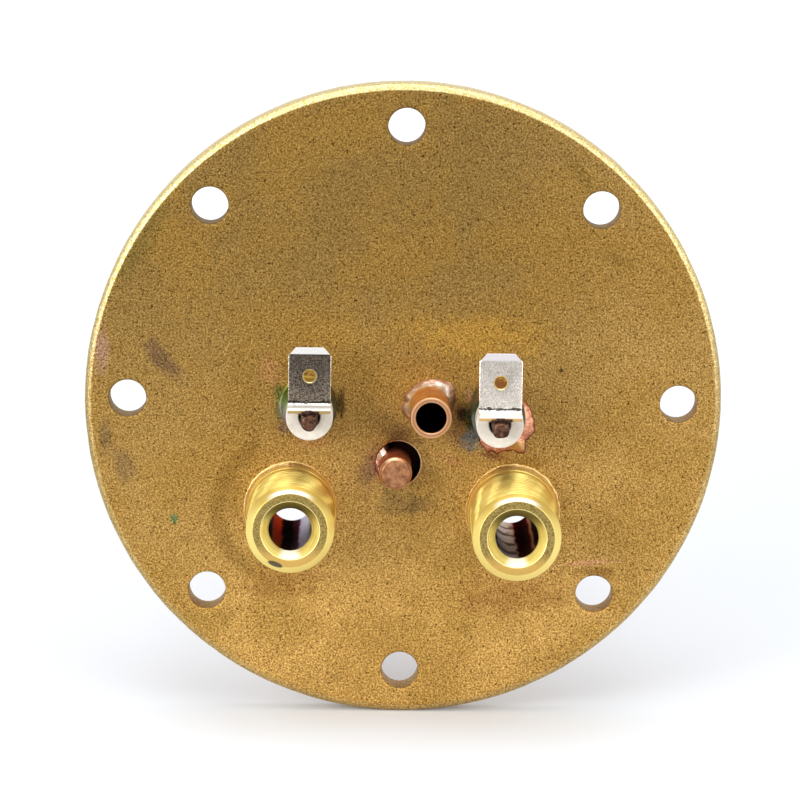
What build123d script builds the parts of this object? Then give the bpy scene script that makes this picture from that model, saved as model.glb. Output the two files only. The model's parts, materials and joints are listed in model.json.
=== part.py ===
# Heating element of a small espresso boiler. A round brass flange closes the
# boiler and carries a copper-sheathed hairpin heater, two threaded pipe
# nozzles, a pocket for a thermostat bulb and a heat-conducting rod.
#
# Frame: the origin is the centre of the flange's outer face. Seen from
# outside, +X is right and +Z is up. +Y goes into the boiler. All sizes in mm.

import os
from math import cos, radians, sin

from build123d import *

# Flange
PLATE_T = 5.2
RIM_BREAK = 0.9
BOLT_CIRCLE_D = 83.0
# From the bolt circle out to the rim
BOLT_EDGE = 6.5
BOLT_COUNT = 8
BOLT_HOLE_D = 5.6

# Pipe nozzles with a G1/4 male thread, brazed into the flange
NOZZLE_X = {"left": -16.7, "right": 16.7}
NOZZLE_Z = -16.8
NOZZLE_REACH = {"left": 16.2, "right": 20.2}
NOZZLE_TAIL = 2.2
THREAD_D = 13.157
SHANK_D = 13.5
SHANK_REACH = 1.6
NOZZLE_BORE_D = 6.3
NOZZLE_MOUTH_D = 8.8
NOZZLE_LIP_D = 11.1

# Heater terminals and sheath
TERMINAL_X = {"left": -14.05, "right": 14.05}
TERMINAL_Z = -0.7
SHEATH_D = 8.0
SHEATH_WALL = 0.8
SHEATH_REACH = {"left": 5.0, "right": 9.6}
HAIRPIN_DEPTH = 142.0

# Pins, windings and fill inside the sheath
PIN_D = 2.5
PIN_STICKOUT = 5.2
COLD_DEPTH = 30.0
WINDING_D = 2.5

# Ceramic beads and the seals under them
BEAD_D = 7.0
BEAD_L = 6.0
BEAD_BORE_D = 3.2
SEAL_L = 3.0

# Push-on tabs, welded on top of the pins
TAB_W = 6.3
TAB_T = 0.8
TAB_LEG_L = 3.8
TAB_RISE = 8.6
TAB_STANDOFF = 0.25
TAB_INNER_R = 0.35
TAB_CORNER_W = 1.1
TAB_CORNER_H = 1.2
TAB_BEVEL_H = 1.0
TAB_BEVEL_T = 0.25
TAB_HOLE_D = 1.8
TAB_HOLE_DROP = 4.3
TAB_LEAN = {"left": 0.0, "right": 4.0}

# Pocket for the thermostat bulb
POCKET_X = 4.0
POCKET_Z = -0.5
POCKET_D = 6.1
POCKET_WALL = 0.75
POCKET_REACH = 11.6
POCKET_DEPTH = 72.0
POCKET_END_T = 1.2
POCKET_END_BREAK = 1.4

# Heat-conducting rod in its well
ROD_X = -1.1
ROD_Z = -9.9
ROD_D = 4.9
ROD_REACH = 6.6
ROD_DEPTH = 20.0
ROD_BEVEL = 0.4
WELL_X = -0.67
WELL_Z = -9.53
WELL_D = 6.7
WELL_DEPTH = 2.6
WELL_FILL_DROP = 0.5
WELL_GAP_ANGLE = 32.0
WELL_GAP_START = 0.9

# Braze at the flange's outer face: width on the plate and height
NOZZLE_BRAZE = (0.7, 0.9)
POCKET_BRAZE = (1.1, 1.5)
SHEATH_BRAZE = (0.65, 0.7)
# Flat spill of braze at the right terminal: it ran together from puddles,
# each one given as right of the terminal's axis, above it, and diameter
SPILL_PUDDLES = [(1.8, -2.6, 8.2), (3.4, -5.9, 3.0), (-0.9, -4.9, 4.4)]
SPILL_T = 0.4

# Derived places
plate_r = BOLT_CIRCLE_D / 2 + BOLT_EDGE
sheath_bore_d = SHEATH_D - 2 * SHEATH_WALL
bend_r = TERMINAL_X["right"]
bend_y = HAIRPIN_DEPTH - bend_r - SHEATH_D / 2
pin_end_y = PLATE_T + COLD_DEPTH
bead_front = {side: SHEATH_REACH[side] + BEAD_L for side in SHEATH_REACH}
fill_start = {side: SHEATH_REACH[side] - SEAL_L for side in SHEATH_REACH}

# Looking at the flange from outside: local x is right, local y is up
FACE = Plane(origin=(0, 0, 0), x_dir=(1, 0, 0), z_dir=(0, -1, 0))
BEND_AXIS = Axis((0, bend_y, TERMINAL_Z), (0, 0, -1))


def face_plane(out):
    """Plane parallel to the outer face, a distance out in front of it."""
    return FACE.offset(out)


def turning_plane(x, z):
    """Plane of a turned profile: local x is the radius, local y is +Y."""
    return Plane(origin=(x, 0, z), x_dir=(1, 0, 0), z_dir=(0, 0, 1))


def turning_axis(x, z):
    """Axis of a turned piece at a place on the flange."""
    return Axis((x, 0, z), (0, 1, 0))


def bore_ring(x, z, out, outer_d, bore_d=0.0):
    """Round section square to the flange's axis, with an optional bore."""
    with BuildSketch(face_plane(out)) as section:
        with Locations((x, z)):
            Circle(outer_d / 2)
            if bore_d > 0:
                Circle(bore_d / 2, mode=Mode.SUBTRACT)
    return section.sketch


def save(part, name):
    """Label a finished piece and write its file."""
    part.label = name
    export_step(part, f"parts/{name}.step")


os.makedirs("parts", exist_ok=True)

# Flange: a turned disc, drilled for bolts and for everything brazed into it
with BuildPart() as flange_plate:
    with BuildSketch(FACE):
        Circle(plate_r)
    extrude(amount=-PLATE_T)
    chamfer(flange_plate.edges().sort_by(Axis.Y)[0], RIM_BREAK)
    with BuildSketch(FACE):
        with PolarLocations(BOLT_CIRCLE_D / 2, BOLT_COUNT):
            Circle(BOLT_HOLE_D / 2)
        for side in NOZZLE_X:
            with Locations((NOZZLE_X[side], NOZZLE_Z)):
                Circle(SHANK_D / 2)
            with Locations((TERMINAL_X[side], TERMINAL_Z)):
                Circle(SHEATH_D / 2)
        with Locations((POCKET_X, POCKET_Z)):
            Circle(POCKET_D / 2)
        with Locations((ROD_X, ROD_Z)):
            Circle(ROD_D / 2)
    extrude(amount=-PLATE_T, mode=Mode.SUBTRACT)
    with BuildSketch(FACE):
        with Locations((WELL_X, WELL_Z)):
            Circle(WELL_D / 2)
    extrude(amount=-WELL_DEPTH, mode=Mode.SUBTRACT)
save(flange_plate.part, "flange_plate")

# Nozzles: turned brass, with a coned mouth, a thread-start chamfer, the
# thread's outline and a plain shank that stands out of the inner face
for side, x in NOZZLE_X.items():
    reach = NOZZLE_REACH[side]
    tail_y = PLATE_T + NOZZLE_TAIL
    bore_r = NOZZLE_BORE_D / 2
    mouth_r = NOZZLE_MOUTH_D / 2
    lip_r = NOZZLE_LIP_D / 2
    thread_r = THREAD_D / 2
    shank_r = SHANK_D / 2
    with BuildPart() as nozzle:
        with BuildSketch(turning_plane(x, NOZZLE_Z)):
            with BuildLine():
                Polyline(
                    (bore_r, tail_y),
                    (bore_r, mouth_r - bore_r - reach),
                    (mouth_r, -reach),
                    (lip_r, -reach),
                    (thread_r, thread_r - lip_r - reach),
                    (thread_r, -SHANK_REACH),
                    (shank_r, -SHANK_REACH),
                    (shank_r, tail_y),
                    close=True,
                )
            make_face()
        revolve(axis=turning_axis(x, NOZZLE_Z))
    save(nozzle.part, f"nozzle_{side}")

    braze_w, braze_h = NOZZLE_BRAZE
    with BuildPart() as nozzle_braze:
        with BuildSketch(turning_plane(x, NOZZLE_Z)):
            with BuildLine():
                Polyline(
                    (shank_r, 0), (shank_r + braze_w, 0), (shank_r, -braze_h), close=True
                )
            make_face()
        revolve(axis=turning_axis(x, NOZZLE_Z))
    save(nozzle_braze.part, f"nozzle_braze_{side}")

# Heater sheath: one copper tube, bent once into a hairpin. Both legs are
# hollow, and the closed bend is solid: tube, fill and winding in one
with BuildPart() as heater_sheath:
    for side, x in TERMINAL_X.items():
        reach = SHEATH_REACH[side]
        extrude(
            bore_ring(x, TERMINAL_Z, reach, SHEATH_D, sheath_bore_d),
            amount=-(reach + bend_y),
        )
    revolve(
        bore_ring(TERMINAL_X["left"], TERMINAL_Z, -bend_y, SHEATH_D),
        axis=BEND_AXIS,
        revolution_arc=180,
    )
save(heater_sheath.part, "heater_sheath")

# Magnesia fill of the legs: packed round the cold pins and the winding
with BuildPart() as magnesia_fill:
    for side, x in TERMINAL_X.items():
        start = fill_start[side]
        extrude(
            bore_ring(x, TERMINAL_Z, start, sheath_bore_d, PIN_D),
            amount=-(start + pin_end_y),
        )
        extrude(
            bore_ring(x, TERMINAL_Z, -pin_end_y, sheath_bore_d, WINDING_D),
            amount=-(bend_y - pin_end_y),
        )
save(magnesia_fill.part, "magnesia_fill")

# Resistance winding of the legs: the outline of the close coil of wire
with BuildPart() as resistance_winding:
    for side, x in TERMINAL_X.items():
        extrude(
            bore_ring(x, TERMINAL_Z, -pin_end_y, WINDING_D),
            amount=-(bend_y - pin_end_y),
        )
save(resistance_winding.part, "resistance_winding")

# Each end of the heater: cold pin, seal, ceramic bead and push-on tab
for side, x in TERMINAL_X.items():
    pin_front = bead_front[side] + PIN_STICKOUT
    with BuildPart() as terminal_pin:
        extrude(bore_ring(x, TERMINAL_Z, pin_front, PIN_D), amount=-(pin_front + pin_end_y))
    save(terminal_pin.part, f"terminal_pin_{side}")

    with BuildPart() as end_seal:
        extrude(
            bore_ring(x, TERMINAL_Z, SHEATH_REACH[side], sheath_bore_d, PIN_D),
            amount=-SEAL_L,
        )
    save(end_seal.part, f"end_seal_{side}")

    with BuildPart() as ceramic_bead:
        extrude(
            bore_ring(x, TERMINAL_Z, bead_front[side], BEAD_D, BEAD_BORE_D),
            amount=-BEAD_L,
        )
    save(ceramic_bead.part, f"ceramic_bead_{side}")

    # Tab profile seen from the side: local x goes outward, local y is up
    side_plane = Plane(origin=(x, 0, TERMINAL_Z), x_dir=(0, -1, 0), z_dir=(-1, 0, 0))
    leg_bottom = PIN_D / 2
    heel = bead_front[side] + TAB_STANDOFF
    leg_end = heel + TAB_LEG_L
    blade_h = TAB_T + TAB_RISE
    lean = radians(TAB_LEAN[side])

    def on_blade(out, up):
        """Point on the leaning blade, from the heel of the bend."""
        return (
            heel + out * cos(lean) - up * sin(lean),
            leg_bottom + out * sin(lean) + up * cos(lean),
        )

    with BuildPart() as tab:
        with BuildSketch(side_plane) as profile:
            with BuildLine():
                Polyline(
                    (heel, leg_bottom),
                    (leg_end, leg_bottom),
                    (leg_end, leg_bottom + TAB_T),
                    (heel + TAB_T, leg_bottom + TAB_T),
                    on_blade(TAB_T, blade_h - TAB_BEVEL_H),
                    on_blade(TAB_T - TAB_BEVEL_T, blade_h),
                    on_blade(TAB_BEVEL_T, blade_h),
                    on_blade(0, blade_h - TAB_BEVEL_H),
                    close=True,
                )
            make_face()
            heel_corner = profile.vertices().sort_by_distance((heel, leg_bottom, 0))[0]
            inner_corner = profile.vertices().sort_by_distance(
                (heel + TAB_T, leg_bottom + TAB_T, 0)
            )[0]
            fillet(heel_corner, TAB_INNER_R + TAB_T)
            fillet(inner_corner, TAB_INNER_R)
        extrude(amount=TAB_W / 2, both=True)
        blade_plane = Plane(
            origin=(x, -heel, TERMINAL_Z + leg_bottom),
            x_dir=(1, 0, 0),
            z_dir=(0, -cos(lean), sin(lean)),
        )
        with BuildSketch(blade_plane):
            with Locations((0, blade_h - TAB_HOLE_DROP)):
                Circle(TAB_HOLE_D / 2)
            with BuildLine() as corner_cut:
                Polyline(
                    (TAB_W / 2 - TAB_CORNER_W, blade_h),
                    (TAB_W / 2, blade_h),
                    (TAB_W / 2, blade_h - TAB_CORNER_H),
                    close=True,
                )
            make_face()
            with BuildLine():
                Polyline(
                    (TAB_CORNER_W - TAB_W / 2, blade_h),
                    (-TAB_W / 2, blade_h),
                    (-TAB_W / 2, blade_h - TAB_CORNER_H),
                    close=True,
                )
            make_face()
        extrude(amount=2 * TAB_T, both=True, mode=Mode.SUBTRACT)
    save(tab.part, f"tab_{side}")

# Braze rings round the sheath, with a spill at the right terminal
sheath_r = SHEATH_D / 2
ring_w, ring_h = SHEATH_BRAZE
for side, x in TERMINAL_X.items():
    with BuildPart() as sheath_braze:
        with BuildSketch(turning_plane(x, TERMINAL_Z)):
            with BuildLine():
                Polyline(
                    (sheath_r, 0), (sheath_r + ring_w, 0), (sheath_r, -ring_h), close=True
                )
            make_face()
        revolve(axis=turning_axis(x, TERMINAL_Z))
        if side == "right":
            with BuildSketch(FACE):
                for right, up, puddle_d in SPILL_PUDDLES:
                    with Locations((x + right, TERMINAL_Z + up)):
                        Circle(puddle_d / 2)
                with Locations((x, TERMINAL_Z)):
                    Circle(sheath_r, mode=Mode.SUBTRACT)
            extrude(amount=SPILL_T)
    save(sheath_braze.part, f"sheath_braze_{side}")

# Sensor pocket: copper tube, open outside and closed inside the boiler
pocket_r = POCKET_D / 2
pocket_bore_r = pocket_r - POCKET_WALL
with BuildPart() as sensor_pocket:
    with BuildSketch(turning_plane(POCKET_X, POCKET_Z)):
        with BuildLine():
            Polyline(
                (pocket_bore_r, -POCKET_REACH),
                (pocket_r, -POCKET_REACH),
                (pocket_r, POCKET_DEPTH - POCKET_END_BREAK),
                (pocket_r - POCKET_END_BREAK, POCKET_DEPTH),
                (0, POCKET_DEPTH),
                (0, POCKET_DEPTH - POCKET_END_T),
                (pocket_bore_r, POCKET_DEPTH - POCKET_END_T),
                close=True,
            )
        make_face()
    revolve(axis=turning_axis(POCKET_X, POCKET_Z))
save(sensor_pocket.part, "sensor_pocket")

braze_w, braze_h = POCKET_BRAZE
with BuildPart() as pocket_braze:
    with BuildSketch(turning_plane(POCKET_X, POCKET_Z)):
        with BuildLine():
            Polyline((pocket_r, 0), (pocket_r + braze_w, 0), (pocket_r, -braze_h), close=True)
        make_face()
    revolve(axis=turning_axis(POCKET_X, POCKET_Z))
save(pocket_braze.part, "pocket_braze")

# Heat-conducting rod, bevelled at its outer end
with BuildPart() as cutout_rod:
    extrude(bore_ring(ROD_X, ROD_Z, ROD_REACH, ROD_D), amount=-(ROD_REACH + ROD_DEPTH))
    chamfer(cutout_rod.edges().sort_by(Axis.Y)[0], ROD_BEVEL)
save(cutout_rod.part, "cutout_rod")

# Braze in the rod's well: it leaves a gap open at the upper right
with BuildPart() as rod_braze:
    with BuildSketch(face_plane(-WELL_DEPTH)):
        with Locations((WELL_X, WELL_Z)):
            Circle(WELL_D / 2)
        with Locations((ROD_X, ROD_Z)):
            Circle(ROD_D / 2, mode=Mode.SUBTRACT)
        gap = radians(WELL_GAP_ANGLE)
        gap_middle = WELL_GAP_START + WELL_D / 2
        with Locations((WELL_X + gap_middle * cos(gap), WELL_Z + gap_middle * sin(gap))):
            Rectangle(WELL_D, 2 * WELL_D, rotation=WELL_GAP_ANGLE, mode=Mode.SUBTRACT)
    extrude(amount=WELL_DEPTH - WELL_FILL_DROP)
save(rod_braze.part, "rod_braze")
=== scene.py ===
import json
from math import cos, hypot, pi, radians, sin

import bmesh
import bpy
import numpy as np
from mathutils import Matrix, Vector, noise
from mathutils.geometry import delaunay_2d_cdt


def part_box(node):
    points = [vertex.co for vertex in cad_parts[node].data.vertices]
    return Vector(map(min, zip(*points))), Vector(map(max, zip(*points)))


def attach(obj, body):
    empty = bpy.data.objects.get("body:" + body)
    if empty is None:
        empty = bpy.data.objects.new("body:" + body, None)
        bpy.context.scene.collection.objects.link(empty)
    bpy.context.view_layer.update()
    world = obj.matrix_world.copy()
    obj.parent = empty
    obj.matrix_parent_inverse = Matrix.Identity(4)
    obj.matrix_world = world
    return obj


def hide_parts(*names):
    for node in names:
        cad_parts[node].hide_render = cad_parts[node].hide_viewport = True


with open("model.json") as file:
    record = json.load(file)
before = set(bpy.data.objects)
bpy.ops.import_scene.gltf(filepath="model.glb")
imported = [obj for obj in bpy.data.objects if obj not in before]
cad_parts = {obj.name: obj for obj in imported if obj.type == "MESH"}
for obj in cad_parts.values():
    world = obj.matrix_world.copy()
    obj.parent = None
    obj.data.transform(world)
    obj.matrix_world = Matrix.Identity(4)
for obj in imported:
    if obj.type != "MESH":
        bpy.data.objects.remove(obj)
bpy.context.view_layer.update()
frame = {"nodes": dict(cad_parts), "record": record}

MM = 0.001
SIDES = ("left", "right")
mounts = {m["name"]: m for m in frame["record"]["mounts"]}


def limits(node):
    """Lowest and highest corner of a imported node, in millimetres."""
    low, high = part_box(node)
    return low / MM, high / MM


def centre(node):
    """Where the axis of a packed turned piece crosses the flange: (x, z)."""
    low, high = limits(node)
    return (low.x + high.x) / 2, (low.z + high.z) / 2


def mount_radius(name):
    """Radius that a mount of the record states, in millimetres."""
    return mounts[name]["dims"]["r_mm"]


# Flange
plate_low, plate_high = limits("flange_plate")
PLATE_R = plate_high.x
PLATE_T = plate_high.y
RIM_ROUND = 1.1
BACK_ROUND = 0.4
BOLT_R = mounts["flange_bolts"]["dims"]["hole_r_mm"]
BOLT_COUNT = mounts["flange_bolts"]["dims"]["count"]
BOLT_CIRCLE_R = mounts["flange_bolts"]["dims"]["pcd_mm"] / 2
HOLE_LIP = 0.22
WELL_R = 3.35
WELL_DEPTH = 2.6
WELL_AT = (-0.67, -9.53)
FACE_GRID = 0.62
CAST_LUMP = 0.035

# Outlines seen in the photograph, as (angle, radius) round a piece's axis:
# degrees go from the right, counterclockwise as seen from outside
POCKET_BRAZE_EDGE = [
    (0, 3.6), (27, 4.30), (48, 4.56), (73, 4.13), (95, 3.87), (128, 3.75), (145, 3.72),
    (157, 4.15), (172, 3.82), (187, 4.40), (201, 4.15), (225, 3.7), (300, 3.6),
]
SPILL_EDGE = [
    (14, 4.3), (60, 4.15), (90, 3.95), (205, 3.95), (222, 4.3), (238, 5.0), (248, 6.1),
    (259, 7.0), (265, 6.85), (271, 7.3), (279, 6.9), (291, 7.2), (298, 8.1), (303, 8.35),
    (310, 6.95), (316, 6.95), (329, 6.80), (341, 6.0), (353, 5.34),
]
LEFT_RING_EDGE = [(0, 4.06), (60, 4.2), (120, 4.6), (180, 4.65), (240, 4.6), (300, 4.15)]
NOZZLE_RING_EDGE = {
    "left": [(0, 6.9), (45, 7.0), (90, 7.42), (135, 7.38), (180, 7.2), (250, 7.1), (300, 6.9)],
    "right": [(0, 7.2), (45, 7.38), (90, 7.40), (135, 7.1), (180, 7.0), (250, 7.1), (310, 7.2)],
}

# Nozzles
NOZZLE_MOUTH_R = 4.4
NOZZLE_LIP_R = 5.55
THREAD_PITCH = 1.337
THREAD_DEPTH = 0.62
SHANK_REACH = 1.6

# Floor: its glow to the camera near the part and far away, and where it changes
FLOOR_NEAR = 170
FLOOR_FAR = 700
FLOOR_GLOW = (0.07, 0.38)

# Camera, solved from the bolt circle in the photograph
CAMERA_RISE = 9.72
CAMERA_SWING = -0.80
CAMERA_ROLL = 0.79
CAMERA_AWAY = 659.0
CAMERA_ASIDE = 0.50
CAMERA_UP = -0.20
PHOTO_WIDTH = 800
FOCAL_PIXELS = 4376.3
SENSOR = 36.0


# Mesh making

def make_object(name, mesh):
    """Link a mesh as a smooth shaded object."""
    mesh.shade_smooth()
    piece = bpy.data.objects.new(name, mesh)
    bpy.context.scene.collection.objects.link(piece)
    return piece


def finish_mesh(name, bm, sharp=radians(40)):
    """Turn a bmesh in millimetres into an object in metres, with sharp edges kept."""
    bmesh.ops.recalc_face_normals(bm, faces=bm.faces)
    bmesh.ops.scale(bm, vec=(MM, MM, MM), verts=bm.verts)
    for edge in bm.edges:
        edge.smooth = len(edge.link_faces) == 2 and edge.calc_face_angle(0) < sharp
    mesh = bpy.data.meshes.new(name)
    bm.to_mesh(mesh)
    bm.free()
    return make_object(name, mesh)


def wear(piece, node, material):
    """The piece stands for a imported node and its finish."""
    piece.data.materials.clear()
    piece.data.materials.append(material)
    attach(piece, "root")
    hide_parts(node)
    return piece


def add(piece, material):
    """The piece is new on the part and its finish."""
    piece.data.materials.append(material)
    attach(piece, "root")
    return piece


def arc_steps(profile, radius, steps=4):
    """A profile of (radius, y) points with its corners rounded."""
    count = len(profile)
    rounded = []
    for i in range(count):
        here = Vector(profile[i])
        before = Vector(profile[i - 1]) - here
        after = Vector(profile[(i + 1) % count]) - here
        reach = min(radius, before.length / 2.2, after.length / 2.2)
        start = here + before.normalized() * reach
        end = here + after.normalized() * reach
        if here.x < 1e-6 or before.angle(after) > radians(160):
            rounded.append(tuple(here))
            continue
        for step in range(steps + 1):
            t = step / steps
            point = start * (1 - t) ** 2 + here * 2 * t * (1 - t) + end * t ** 2
            rounded.append(tuple(point))
    return rounded


def turned(name, at, profile, steps=72, shape=None):
    """Closed profile of (radius, y) points turned round an axis along Y.

    shape(angle, radius, y) may return another (radius, y) for lumpy pieces.
    """
    bm = bmesh.new()
    rows = []
    for radius, y in profile:
        if radius < 1e-6:
            rows.append([bm.verts.new((at[0], y, at[1]))] * steps)
            continue
        row = []
        for step in range(steps):
            angle = 2 * pi * step / steps
            r, out = shape(angle, radius, y) if shape else (radius, y)
            row.append(bm.verts.new((at[0] + r * cos(angle), out, at[1] + r * sin(angle))))
        rows.append(row)
    for i, row in enumerate(rows):
        following = rows[(i + 1) % len(rows)]
        for step in range(steps):
            corners = [
                row[step],
                row[(step + 1) % steps],
                following[(step + 1) % steps],
                following[step],
            ]
            corners = list(dict.fromkeys(corners))
            if len(corners) > 2:
                bm.faces.new(corners)
    return finish_mesh(name, bm)


def softened(name, node, width, steps=2, crisp_above=None, hole=None):
    """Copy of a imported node's mesh with its sharp edges bevelled.

    Above crisp_above, slight folds stay sharp too. hole is (place, reach, width)
    of a hole whose edges get a wider bevel.
    """
    bm = bmesh.new()
    bm.from_mesh(frame["nodes"][node].data)
    bmesh.ops.scale(bm, vec=(1 / MM,) * 3, verts=bm.verts)
    bmesh.ops.remove_doubles(bm, verts=bm.verts, dist=0.002)
    bmesh.ops.dissolve_limit(
        bm, angle_limit=radians(1), verts=bm.verts, edges=bm.edges
    )
    sharp = [
        edge for edge in bm.edges
        if len(edge.link_faces) == 2 and edge.calc_face_angle(0) > radians(30)
    ]
    round_hole = []
    if hole:
        place, reach, hole_width = hole
        round_hole = [e for e in sharp if (e.verts[0].co - place).length < reach]
        bevel(bm, round_hole, hole_width, 1)
    bevel(bm, [e for e in sharp if e.is_valid and e not in round_hole], width, steps)
    bmesh.ops.triangulate(bm, faces=bm.faces)
    piece = finish_mesh(name, bm, radians(35))
    if crisp_above is not None:
        crispen(piece.data, crisp_above * MM)
    return piece


def bevel(bm, edges, width, steps):
    """Bevel the given edges of a bmesh in millimetres."""
    bmesh.ops.bevel(
        bm,
        geom=edges,
        offset=width,
        segments=steps,
        profile=0.6,
        affect="EDGES",
        clamp_overlap=True,
    )


def crispen(mesh, height):
    """Keep slight folds of a mesh sharp where their middle is above a height in metres."""
    bm = bmesh.new()
    bm.from_mesh(mesh)
    for edge in bm.edges:
        middle = (edge.verts[0].co.z + edge.verts[1].co.z) / 2
        if middle > height and len(edge.link_faces) == 2:
            edge.smooth = edge.smooth and edge.calc_face_angle(0) < radians(9)
    bm.to_mesh(mesh)
    bm.free()


def lump(point, size, seed=0.0):
    """Smooth noise from -1 to 1 at a point in millimetres."""
    x, y, z = point
    return noise.noise(Vector((x / size + seed, y / size - seed, z / size + 2 * seed)))


# Flange

def ring(at, radius, y, steps):
    """One closed ring of points parallel to the flange."""
    return [
        Vector((
            at[0] + radius * cos(2 * pi * i / steps),
            y,
            at[1] + radius * sin(2 * pi * i / steps),
        ))
        for i in range(steps)
    ]


def bolt_places():
    """Centres of the bolt holes."""
    for i in range(BOLT_COUNT):
        angle = 2 * pi * i / BOLT_COUNT
        yield BOLT_CIRCLE_R * cos(angle), BOLT_CIRCLE_R * sin(angle)


def through_hole(at, radius, lip, steps):
    """Rings of a plain hole from the outer to the inner face, edges broken."""
    turn = [i / 3 * pi / 2 for i in range(4)]
    front = [(radius + lip * (1 - sin(t)), lip * (1 - cos(t))) for t in turn]
    back = [(r, PLATE_T - y) for r, y in reversed(front)]
    return [ring(at, r, y, steps) for r, y in front + back]


def rim_rings(steps):
    """Rings round the outside of the flange, from the outer to the inner face."""
    rings = []
    for i in range(8):
        t = i / 7 * pi / 2
        radius = PLATE_R - RIM_ROUND * (1 - sin(t))
        rings.append(ring((0, 0), radius, RIM_ROUND * (1 - cos(t)), steps))
    for i in range(4):
        t = i / 3 * pi / 2
        radius = PLATE_R - BACK_ROUND * (1 - cos(t))
        rings.append(ring((0, 0), radius, PLATE_T - BACK_ROUND * (1 - sin(t)), steps))
    return rings


def face_points(loops, spacing, margin):
    """Points of a triangular grid inside the rim and clear of the holes."""
    rows = int(2 * PLATE_R / (spacing * 0.866)) + 2
    grid = []
    for j in range(rows):
        z = -PLATE_R + j * spacing * 0.866
        for i in range(int(2 * PLATE_R / spacing) + 2):
            grid.append((-PLATE_R + (i + 0.5 * (j % 2)) * spacing, z))
    grid = np.array(grid)
    keep = np.ones(len(grid), bool)
    for outside, loop in loops:
        at = sum(loop, Vector()) / len(loop)
        radius = (loop[0] - at).length
        away = np.hypot(grid[:, 0] - at.x, grid[:, 1] - at.z)
        keep &= (away < radius - margin) if outside else (away > radius + margin)
    return grid[keep]


def fill_face(bm, loops, spacing, y):
    """Triangulate a flange face between the rim and the holes.

    loops are (is_rim, ring points, ring vertices).
    """
    flat = [(is_rim, points) for is_rim, points, _ in loops]
    inner = face_points(flat, spacing, 0.4 * spacing)
    corners, edges, known = [], [], []
    for _, points, verts in loops:
        first = len(corners)
        corners += [Vector((p.x, p.z)) for p in points]
        known += verts
        count = len(points)
        edges += [(first + i, first + (i + 1) % count) for i in range(count)]
    corners += [Vector(p) for p in inner]
    known += [bm.verts.new((p[0], y, p[1])) for p in inner]
    places, _, faces, origin, _, _ = delaunay_2d_cdt(corners, edges, [], 0, 1e-5)
    discs = []
    for is_rim, points in flat:
        at = sum(points, Vector()) / len(points)
        discs.append((is_rim, at.x, at.z, (points[0] - at).length))
    for face in faces:
        x = sum(places[i].x for i in face) / 3
        z = sum(places[i].y for i in face) / 3
        inside = all(
            (hypot(x - cx, z - cz) < r) == is_rim for is_rim, cx, cz, r in discs
        )
        if inside:
            bm.faces.new([known[origin[i][0]] for i in face])


def bridge(bm, rows):
    """Quads between neighbouring rings of vertices."""
    for row, following in zip(rows, rows[1:]):
        count = len(row)
        for i in range(count):
            k = (i + 1) % count
            bm.faces.new([row[i], row[k], following[k], following[i]])


def build_flange():
    """The flange with rounded edges, drilled holes and an uneven cast face."""
    holes = [through_hole(at, BOLT_R, HOLE_LIP, 56) for at in bolt_places()]
    for node in ("nozzle_left", "nozzle_right"):
        low, high = limits(node)
        holes.append(through_hole(centre(node), (high.x - low.x) / 2, 0.02, 48))
    low, high = limits("sensor_pocket")
    holes.append(through_hole(centre("sensor_pocket"), (high.x - low.x) / 2, 0.02, 48))
    low, high = limits("heater_sheath")
    for side in SIDES:
        at = centre(f"terminal_pin_{side}")
        holes.append(through_hole(at, (high.z - low.z) / 2, 0.02, 48))
    rod_low, rod_high = limits("cutout_rod")
    rod_r = (rod_high.x - rod_low.x) / 2
    rod_at = centre("cutout_rod")
    holes.append([
        ring(WELL_AT, WELL_R + HOLE_LIP, 0, 48),
        ring(WELL_AT, WELL_R + 0.3 * HOLE_LIP, 0.3 * HOLE_LIP, 48),
        ring(WELL_AT, WELL_R, HOLE_LIP, 48),
        ring(WELL_AT, WELL_R, WELL_DEPTH, 48),
        ring(rod_at, rod_r, WELL_DEPTH, 48),
        ring(rod_at, rod_r, PLATE_T, 48),
    ])
    bm = bmesh.new()
    front, back = [], []
    for is_rim, rings in [(True, rim_rings(300))] + [(False, h) for h in holes]:
        rows = [[bm.verts.new(p) for p in points] for points in rings]
        bridge(bm, rows)
        front.append((is_rim, rings[0], rows[0]))
        back.append((is_rim, rings[-1], rows[-1]))
    fill_face(bm, front, FACE_GRID, 0.0)
    fill_face(bm, back, 2.5, PLATE_T)
    for vert in bm.verts:
        x, y, z = vert.co
        if hypot(x, z) > PLATE_R - 2.2 * RIM_ROUND:
            vert.co *= 1 - 0.0009 * (1 + lump((x, y, z), 2.2) + 0.6 * lump((x, y, z), 0.9, 5))
            vert.co.y = y
        if y < 0.4:
            vert.co.y += CAST_LUMP * (1 + lump((x, 0, z), 1.9) + 0.7 * lump((x, 0, z), 0.8, 3))
    return finish_mesh("flange_body", bm, radians(50))


# Nozzles

def thread_dip(angle, y, start, end):
    """How far the thread's surface lies under its crest at a point."""
    phase = (y / THREAD_PITCH + angle / (2 * pi)) % 1.0
    slope = abs(2 * phase - 1)
    groove = min(max((slope - 0.14) / 0.72, 0.0), 1.0)
    fade = min(max((y - start) / 0.9, 0.0), 1.0) * min(max((end - y) / 1.6, 0.0), 1.0)
    return THREAD_DEPTH * groove * fade


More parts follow.
